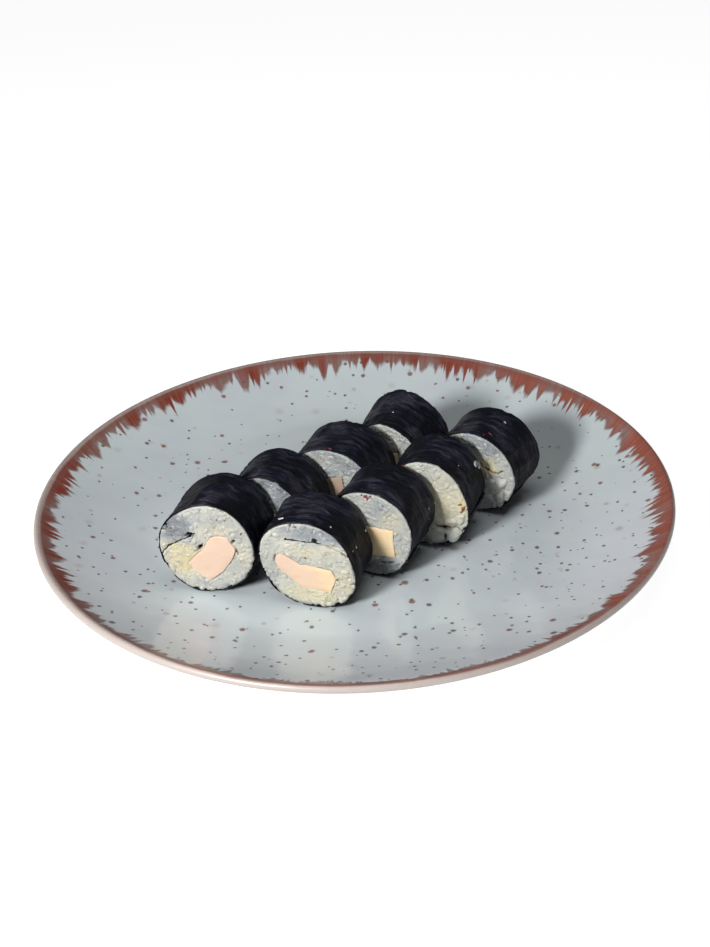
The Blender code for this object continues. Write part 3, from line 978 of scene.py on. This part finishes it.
class MAKI_OT_sheets(PerRoll, bpy.types.Operator):
    """Wrap a nori sheet round each roll"""
    bl_idname = "maki.sheets"
    bl_label = "Nori sheets"
    paint = staticmethod(nori_paint)
    piece = staticmethod(sheet_piece)


# ------------ rice

RICE_VALUES = ("tint", "hollow", "stain", "grey")


def rice_paint(colors):
    """Cooked rice, coloured by the values on its points, which also carry painted shade."""
    paint = Paint("cooked_rice", {
        "IOR": 1.42, "Subsurface Weight": 0.4, "Subsurface Scale": 0.0014,
        "Subsurface Radius": (1.0, 0.92, 0.75)})
    place = paint.place()
    luck, hollow, stain, grey = (paint.attribute(name) for name in RICE_VALUES)
    drift = paint.noise(place, 95.0, 2.0)
    cloud = paint.step(paint.noise(place, 480.0, 4.0, 0.65), 0.44, 0.66)
    paint.set("Base Color", paint.cover(
        colors.rice,
        (luck * 0.4, colors.rice_cool),
        (paint.step(drift, 0.52, 0.75) * 0.35, colors.rice_warm),
        (paint.step(drift, 0.47, 0.3) * 0.3, colors.rice_glass_and_shade),
        (cloud * 0.4, colors.rice_glass_and_shade),
        # Glassy rice and painted shade, by the grey value; past 1 it deepens to the darkest painted
        # shade.
        (grey * (cloud * 0.3 + 0.75), colors.rice_glass_and_shade),
        (paint.step(grey + cloud * 0.3, 1.0, 2.2), colors.rice_shade),
        (stain * (cloud * 0.3 + 0.7), colors.rice_stain),
        # Painted shade darkens the rice in and round the tail's slit and the pockets.
        (paint.step(hollow, 0.05, 0.6) * 0.6, colors.rice_hollow),
        (paint.step(hollow, 0.35, 0.95), colors.rice_gap_shade),
    ))
    paint.set("Roughness", paint.noise(place, 500.0, 2.0) * 0.3 + 0.3)
    lumps = paint.bump(paint.noise(place, 430.0, 3.0, 0.6), 0.55, 0.0009)
    paint.set("Normal", paint.bump(paint.noise(place, 1100.0, 3.0), 0.55, 0.0006, lumps))
    return paint.material


def rice_layers(bm):
    """New layers on a bmesh for the rice's values."""
    return [bm.verts.layers.float.new(name) for name in RICE_VALUES]


def color_rice(vert, layers, *values):
    for layer, value in zip(layers, values):
        vert[layer] = value


def raggedness(roll, point):
    """From 0 to 1, how much the rim of the rice crumbles, which is low down only."""
    angle = atan2(point.y, point.x)
    low = smooth(-sin(angle), -0.6, 0.5)
    return low * smooth(ripple(8 * cos(angle), 8 * sin(angle), roll.x), -0.1, 0.4)


def core_height(section, sizes, point, end, gap):
    """How far the rice body stands out of a cut plane."""
    roll = section.roll
    out = relief(roll, point.x, point.y, end) - sizes.core_depth - 3 * MM * gap
    out += 0.14 * MM * ripple_at(point, 1.5, roll.seam)
    if outside_distance(point, section.corners) < 0:
        out -= 1.2 * MM
    from_rim = rim_at(roll, point) - point.length
    return out - 0.7 * MM * smooth(from_rim, 2.2 * MM, 0.8 * MM) * raggedness(roll, point)


def core_piece(section, sizes, material):
    """Body of rice behind the grains, open along the tail's slit."""
    roll = section.roll
    insets = (SHEET_THICKNESS + 0.4 * sizes.wrinkle, SHEET_THICKNESS + 1.1 * sizes.wrinkle)
    rounds = [(i / CORE_RINGS, 0.0, 0.0) for i in range(CORE_RINGS + 1)]
    profile = rounds + [(1.0, along, 0.0) for along in (0.105, 0.5, 0.895)]
    profile += [(reach, 1.0, 0.0) for reach, _, _ in reversed(rounds)]
    bm = turned_bmesh(profile, (0, 1, 0), CORE_STEPS)

    def section_place(vert):
        flat = Vector((vert.co.x, vert.co.z))
        angle = atan2(flat.y, flat.x)
        inset = insets[0.1 < vert.co.y < 0.9] + raggedness(roll, flat) * 0.7 * MM
        reach = hypot(*flat) * (rim_radius(roll, angle) - inset)
        return Vector((reach * cos(angle), reach * sin(angle)))

    def near_gap(vert):
        point = section_place(vert)
        level = section.pocket_level(point) if vert.co.y < 0.5 else 9.0
        return path_distance(point, section.tail) < 1.3 * MM or level < 1.6

    gaps = [edge for edge in bm.edges if near_gap(edge.verts[0]) or near_gap(edge.verts[1])]
    bmesh.ops.subdivide_edges(bm, edges=gaps, cuts=2, use_grid_fill=True)
    layers = rice_layers(bm)
    for vert in bm.verts:
        point = section_place(vert)
        along = vert.co.y
        ends = [end for end in SIDES if abs(along - end) < 0.01]
        if not ends:
            vert.co = section.place(point.x, point.y, along * section.length)
            continue
        end = ends[0]
        slit = 0.34 + 0.45 * ripple_at(point, 1.1, roll.x)
        gap = smooth(path_distance(point, section.tail), slit * MM, 0.05 * MM)
        gap *= 1 - 0.75 * section.shut(point)
        if end == FRONT:
            gap = max(gap, smooth(section.pocket_level(point), 1.15, 0.75))
        tint = 0.5 + 0.5 * ripple_at(point, 2, roll.seam + 5)
        # The gap value paints shade into the slit and the pockets; the grey value carries glassy rice
        # and painted shade.
        color_rice(vert, layers, tint, gap, section.stain(point, end), section.greyness_and_shade(point))
        out = core_height(section, sizes, point, end, gap)
        vert.co = section.place_out(point.x, point.y, out, end)
    keep(bm, "core_" + roll.name, material, ["rice_" + roll.name])


def grain_fits(section, end, centre, turn, half, room):
    """Whether a grain lying flat at this place keeps off the rim, gaps and filling."""
    lean = Vector((cos(turn), sin(turn)))
    for t in (-1.0, -0.5, 0.0, 0.5, 1.0):
        point = centre + t * half * lean
        rim = rim_at(section.roll, point) - SHEET_THICKNESS
        if (hypot(*point) > rim - room * 0.7
                or path_distance(point, section.tail) < room * 0.42 and section.shut(point) < 0.5
                or outside_distance(point, section.corners) < room * 0.35
                or end == FRONT and section.pocket_level(point, room) < 1.0):
            return False
    return True


def keep_off(point, centre, path, room):
    """Push a grain's point back to its own side of the tail."""
    for a, b in zip(path, path[1:]):
        run = b - a
        t = (point - a).dot(run) / max(run.length_squared, 1e-12)
        if -0.05 <= t <= 1.05:
            side = Vector((run.y, -run.x)).normalized()
            if (centre - a).dot(side) < 0:
                side = -side
            short = room - (point - a).dot(side)
            if 0 < short < 2.2 * MM:
                return point + short * side
    return point


def lay_grain(bm, seed_mesh, section, end, centre, turn, sizes, dice, layers):
    """Add one grain, pressed flat where the knife passed."""
    roll = section.roll
    start = len(bm.verts)
    bm.from_mesh(seed_mesh)
    bm.verts.ensure_lookup_table()
    length, width, lean = sizes
    bend = dice.uniform(-0.12, 0.12)
    rotation = Matrix.Rotation(turn, 3, "Z") @ Matrix.Rotation(lean, 3, "Y")
    sink = width * dice.uniform(0.36, 0.42) + abs(sin(lean)) * length * 0.3
    loose = smooth(centre.length / rim_at(roll, centre), 0.68, 0.92)
    top = relief(roll, centre.x, centre.y, end) + dice.uniform(-1, 1) * (0.03 + 0.14 * loose) * MM
    flatten = 0.16 + 0.36 * loose
    tint = dice.random()
    stain = section.stain(centre, end) * dice.uniform(0.5, 1.1) if end == FRONT else 0.0
    grey = section.greyness_and_shade(centre) * dice.uniform(0.6, 1.2)
    by_tail = path_distance(centre, section.tail) < 3.4 * MM and section.shut(centre) < 0.5
    for vert in bm.verts[start:]:
        x, y, z = vert.co
        slim = 1 - 0.14 * x
        local = Vector((x * length / 2, (y * slim + bend * (x * x - 0.4) * 2) * width / 2,
                        z * slim * width * 0.46))
        spot = rotation @ local
        height = top - sink + spot.z
        if height > top:
            height = top + (height - top) * flatten
        point = Vector((centre.x + spot.x, centre.y + spot.y))
        if by_tail:
            point = keep_off(point, centre, section.tail, 0.1 * MM)
        below = smooth(top - height, 0.3 * MM, 1.8 * MM)
        point = section.hold_in(point, (0.12 + 0.95 * below) * MM)
        vert.co = section.place_out(point.x, point.y, height, end)
        color_rice(vert, layers, tint, 0.0, stain, grey)


def lay_bit(bm, base, across, up, out, size, turn, rough, dice, fineness=2):
    """Add one small rounded bit that lies on a surface; return its points."""
    made = bmesh.ops.create_icosphere(bm, subdivisions=fineness, radius=1.0)
    length, width, height = size
    shift = Vector((dice.random(), dice.random(), dice.random())) * 50
    for vert in made["verts"]:
        swell = 1 + rough * noise.noise(vert.co * 1.4 + shift)
        a = vert.co.x * swell * length / 2 * MM
        b = vert.co.y * swell * width / 2 * MM
        c = vert.co.z * swell * height / 2 * MM
        vert.co = (base + (a * cos(turn) - b * sin(turn)) * across
                   + (a * sin(turn) + b * cos(turn)) * up + c * out)
    return made["verts"]


def lay_grains(bm, seed_mesh, section, end, sizes, layers):
    """Cover one cut face with grains on a loose honeycomb."""
    dice = random.Random(f"{section.roll.name} {end}")
    gap = sizes.grain_spacing
    reach = int(FACE_REACH / (gap * ROW_PITCH)) + 1
    for row in range(-reach, reach + 1):
        for column in range(-reach, reach + 1):
            spot = Vector(((column + 0.5 * (row % 2)) * gap, row * gap * ROW_PITCH))
            for attempt in range(GRAIN_TRIES):
                shrink = 1 - 0.055 * attempt
                length = sizes.grain_length * dice.uniform(0.82, 1.1) * shrink
                width = sizes.grain_width * dice.uniform(0.88, 1.1)
                centre = spot + Vector((dice.uniform(-1, 1), dice.uniform(-1, 1))) * gap * 0.34
                turn = dice.uniform(0, pi)
                if grain_fits(section, end, centre, turn, (length - width) / 2, width / 2):
                    lean = dice.uniform(-0.3, 0.3)
                    if dice.random() < LEANING_SHARE and centre.length < LEANING_REACH:
                        lean = dice.uniform(0.5, 0.9)
                    lay_grain(bm, seed_mesh, section, end, centre, turn,
                              (length, width, lean), dice, layers)
                    break


def lay_lumps(bm, section, layers):
    """Add the big smooth lumps at the bottom of some front faces."""
    dice = random.Random(section.roll.name)
    for x, y, out, length, width, turn in LUMPS.get(section.roll.name, ()):
        base, across, up, forward = section.face(x, y)
        height = 0.7 * width
        base = base + (out * MM - height / 2 * MM) * forward
        lump = lay_bit(bm, base, across, up, forward, (length, width, height),
                       radians(turn), 0.35, dice, 3)
        tint = dice.random()
        for vert in lump:
            point = section.hold_in(vert.co.xy)
            color_rice(vert, layers, tint, 0.0, section.stain(point, FRONT),
                        section.greyness_and_shade(point))
            vert.co = section.place(point.x, point.y, vert.co.z)


class MAKI_OT_cores(PerRoll, bpy.types.Operator):
    """Fill each roll with its body of rice"""
    bl_idname = "maki.cores"
    bl_label = "Rice bodies"
    paint = staticmethod(rice_paint)
    piece = staticmethod(core_piece)


class MAKI_OT_grains(bpy.types.Operator):
    """Lay the loose grains over all the cut faces"""
    bl_idname = "maki.grains"
    bl_label = "Rice grains"

    def execute(self, context):
        sizes = context.scene.maki_rolls
        seed = bmesh.new()
        bmesh.ops.create_uvsphere(seed, u_segments=7, v_segments=5, radius=1.0,
                                  matrix=Matrix.Rotation(pi / 2, 4, "Y"))
        seed_mesh = mesh_from(seed, "grain")
        bm = bmesh.new()
        layers = rice_layers(bm)
        for section in sections(context):
            for end in SIDES:
                lay_grains(bm, seed_mesh, section, end, sizes, layers)
            lay_lumps(bm, section, layers)
            for name, angle, along, length, width, height, turn in STRAY_GRAINS:
                if name == section.roll.name:
                    ways = section.skin(angle, along * MM, height * 0.35 * MM)
                    bit = lay_bit(bm, *ways, (length, width, height), radians(turn), 0.2,
                                  random.Random(angle))
                    for vert in bit:
                        vert.co = section.place(vert.co.x, vert.co.y, vert.co.z)
                        color_rice(vert, layers, 0.6, 0.0, 0.0, 1.0)
        keep(bm, "rice_grains", bpy.data.materials["cooked_rice"], [])
        bpy.data.meshes.remove(seed_mesh)
        return {"FINISHED"}


# ------------ small bits

def bit_paint(name, color, roughness):
    """One colour, mottled."""
    paint = Paint(name, {"Subsurface Weight": 0.15, "Subsurface Scale": 0.001})
    mottle = paint.noise(paint.place(), 1500.0, 2.0)
    dark = tuple(c * 0.45 for c in color)
    paint.set("Base Color", paint.cover(dark, (paint.step(mottle, 0.35, 0.65), color)))
    paint.set("Roughness", mottle * 0.2 + roughness)
    return paint.material


class MAKI_OT_bits(bpy.types.Operator):
    """Scatter the starch flecks, red flecks and brown specks"""
    bl_idname = "maki.bits"
    bl_label = "Small bits"

    def execute(self, context):
        colors = context.scene.maki_rolls
        by_name = {section.roll.name: section for section in sections(context)}
        kinds = (
            ("starch_flecks", colors.bit_starch, 0.5, "rice"),
            ("red_flecks", colors.bit_red, 0.35, "filling"),
            ("brown_specks", colors.bit_brown, 0.4, "rice"),
        )
        for kind, color, roughness, slot in kinds:
            dice = random.Random(kind)
            bm = bmesh.new()
            places = [(name, by_name[name].skin(angle, along * MM, 0.05 * MM), rest)
                      for name, angle, along, *rest in SKIN_BITS.get(kind, ())]
            places += [(name, by_name[name].face(x, y), rest)
                       for name, x, y, *rest in FACE_BITS.get(kind, ())]
            for name, ways, (length, width, height, turn) in places:
                bit = lay_bit(bm, *ways, (length, width, height), radians(turn), 0.8, dice)
                for vert in bit:
                    vert.co = by_name[name].place(*vert.co)
            keep(bm, kind, bit_paint(kind, tuple(color), roughness), [])
        return {"FINISHED"}


# ------------ filling

def filling_paint(colors):
    """Smooth pink-cream filling that turns yellow to one side, with painted shade on some rolls."""
    paint = Paint("filling", {
        "IOR": 1.4, "Subsurface Weight": 0.25, "Subsurface Scale": 0.003,
        "Subsurface Radius": (1.0, 0.6, 0.35)})
    place = paint.place()
    mottle = paint.noise(place, 140.0, 3.0)
    veins = paint.noise(paint.vector("MULTIPLY", place, (180.0, 60.0, 420.0)), 1.0, 3.0)
    yellow = paint.attribute("side") + (mottle - 0.5) * 1.1
    paint.set("Base Color", paint.cover(
        colors.filling,
        (paint.step(yellow, 0.2, 0.9), colors.filling_yellow),
        (paint.step(veins, 0.5, 0.75) * 0.3, colors.filling_vein),
        # Painted shade darkens a filling that lies in shadow.
        (paint.attribute("dull"), colors.filling_dull),
    ))
    paint.set("Roughness", mottle * 0.2 + 0.3)
    paint.set("Normal", paint.bump(paint.noise(place, 500.0, 3.0), 0.25, 0.0004))
    return paint.material


def block_piece(section, sizes, material):
    """Block of filling that runs through the rice from face to face."""
    roll = section.roll
    bm = bmesh.new()
    face = bm.faces.new([bm.verts.new((p.x, 0.0, p.y)) for p in section.corners])
    rounded = {"segments": 2, "profile": 0.5, "material": -1}
    bmesh.ops.bevel(bm, geom=face.verts[:], affect="VERTICES", offset=0.35 * MM, **rounded)
    made = bmesh.ops.extrude_face_region(bm, geom=bm.faces[:], use_keep_orig=True)
    back = {v for v in made["geom"] if isinstance(v, bmesh.types.BMVert)}
    bmesh.ops.translate(bm, verts=list(back), vec=(0.0, 1.0, 0.0))
    bmesh.ops.recalc_face_normals(bm, faces=bm.faces)
    caps = [f for f in bm.faces if abs(f.normal.y) > 0.9]
    for vert in bm.verts:
        vert.co.y = section.length + RICE_DOME if vert in back else -RICE_DOME
    rims = {edge for cap in caps for edge in cap.edges}
    bmesh.ops.bevel(bm, geom=list(rims), affect="EDGES", offset=0.14 * MM, **rounded)
    bmesh.ops.triangulate(bm, faces=[f for f in bm.faces if len(f.verts) > 8])
    for _ in range(2):
        wide = [e for e in bm.edges if abs((e.verts[0].co - e.verts[1].co).y) < 0.1 * MM
                and e.calc_length() > 1.6 * MM]
        bmesh.ops.subdivide_edges(bm, edges=wide, cuts=1, use_grid_fill=True)
    side = bm.verts.layers.float.new("side")
    dull = bm.verts.layers.float.new("dull")
    base, run = YELLOW.get(roll.name, (0.6, 0.4))
    for vert in bm.verts:
        x, along, y = vert.co
        sway = 0.18 * MM * ripple_at(vert.co.xz, 2.5, roll.seam)
        vert[side] = base + run * (x / MM - roll.filling.across) / roll.filling.width
        vert[dull] = FILLING_SHADE.get(roll.name, 0.0)
        vert.co = section.place(x + sway, y - sway, along + sway * (1 if along > 0 else -1))
    piece = keep(bm, "block_" + roll.name, material, ["filling_" + roll.name])
    piece.data.set_sharp_from_angle(angle=radians(50))


class MAKI_OT_fillings(PerRoll, bpy.types.Operator):
    """Run a block of filling through each roll"""
    bl_idname = "maki.fillings"
    bl_label = "Fillings"
    paint = staticmethod(filling_paint)
    piece = staticmethod(block_piece)


# ------------ stage

CAMERA_DISTANCE = 0.59867         # metres, as all lengths here
CAMERA_PITCH = 0.53151            # radians above the horizon
CAMERA_ROLL = -0.04580
CAMERA_SHIFT = (0.00080, 0.00672)
LOOK_HEIGHT = 0.0213              # of the point that the camera looks at
FLOOR_HALF = 8.0
KEY_PLACE = (-0.397, -0.568, 0.4)
TOP_PLACE = (0.0, -0.3, 1.47)
TOP_SIZE = 1.0


def add_camera(settings):
    data = bpy.data.cameras.new("camera")
    data.lens = settings.focal
    data.sensor_fit = "VERTICAL"
    data.sensor_height = 36.0
    data.clip_start = 0.01
    camera = add_object("camera", data)
    tilt = Matrix.Rotation(pi / 2 - CAMERA_PITCH, 4, "X") @ Matrix.Rotation(CAMERA_ROLL, 4, "Z")
    offset = tilt @ Vector((*CAMERA_SHIFT, CAMERA_DISTANCE))
    place = Matrix.Translation(offset + Vector((0, 0, LOOK_HEIGHT)))
    camera.matrix_world = place @ tilt
    bpy.context.scene.camera = camera


def add_area_light(name, place, size, power):
    """Round light that shines at the origin."""
    data = bpy.data.lights.new(name, "AREA")
    data.shape = "DISK"
    data.size = size
    data.energy = power
    aim = (-Vector(place)).to_track_quat("-Z", "Y").to_matrix().to_4x4()
    add_object(name, data).matrix_world = Matrix.Translation(place) @ aim


class MAKI_OT_stage(bpy.types.Operator):
    """Set the pale floor, the soft light and the camera"""
    bl_idname = "maki.stage"
    bl_label = "Stage"

    def execute(self, context):
        settings = context.scene.maki_stage
        bm = bmesh.new()
        bmesh.ops.create_grid(bm, x_segments=8, y_segments=8, size=FLOOR_HALF)
        floor = add_object("floor", mesh_from(bm, "floor"))
        floor.location.z = CAD_BOX[0].z - 0.05 * MM
        paint = Paint("pale_floor", {
            "Base Color": (0.3, 0.3, 0.3, 1.0), "Roughness": 0.9, "Emission Strength": 0.88,
            "Emission Color": (1.0, 1.0, 1.0, 1.0)})
        floor.data.materials.append(paint.material)

        world = bpy.data.worlds.new("soft_sky")
        world.use_nodes = True
        sky = world.node_tree.nodes["Background"]
        sky.inputs["Color"].default_value = (0.96, 0.98, 1.0, 1.0)
        sky.inputs["Strength"].default_value = settings.sky
        context.scene.world = world
        add_area_light("key", KEY_PLACE, settings.key_size, settings.key_power)
        add_area_light("overhead", TOP_PLACE, TOP_SIZE, settings.top_power)
        context.scene.view_settings.view_transform = "Standard"
        add_camera(settings)
        return {"FINISHED"}


# ------------ add-on

STEPS = (MAKI_OT_plate, MAKI_OT_sheets, MAKI_OT_cores, MAKI_OT_grains, MAKI_OT_fillings,
         MAKI_OT_bits, MAKI_OT_stage)


class MAKI_PT_sidebar(bpy.types.Panel):
    """Lists the steps and the settings of the platter"""
    bl_label = "Maki platter"
    bl_idname = "MAKI_PT_sidebar"
    bl_space_type = "VIEW_3D"
    bl_region_type = "UI"
    bl_category = "Maki"

    def draw(self, context):
        layout = self.layout
        for group in (context.scene.maki_plate, context.scene.maki_rolls,
                      context.scene.maki_stage):
            box = layout.box()
            for name in group.__annotations__:
                box.prop(group, name)
        for step in STEPS:
            layout.operator(step.bl_idname)


CLASSES = (PlateSettings, RollSettings, StageSettings, *STEPS, MAKI_PT_sidebar)


def register():
    for entry in CLASSES:
        bpy.utils.register_class(entry)
    bpy.types.Scene.maki_plate = PointerProperty(type=PlateSettings)
    bpy.types.Scene.maki_rolls = PointerProperty(type=RollSettings)
    bpy.types.Scene.maki_stage = PointerProperty(type=StageSettings)


def unregister():
    del bpy.types.Scene.maki_stage
    del bpy.types.Scene.maki_rolls
    del bpy.types.Scene.maki_plate
    for entry in reversed(CLASSES):
        bpy.utils.unregister_class(entry)


def main():
    register()
    bpy.ops.maki.plate()
    bpy.ops.maki.sheets()
    bpy.ops.maki.cores()
    bpy.ops.maki.grains()
    bpy.ops.maki.fillings()
    bpy.ops.maki.bits()
    bpy.ops.maki.stage()


if __name__ == "__main__":
    main()
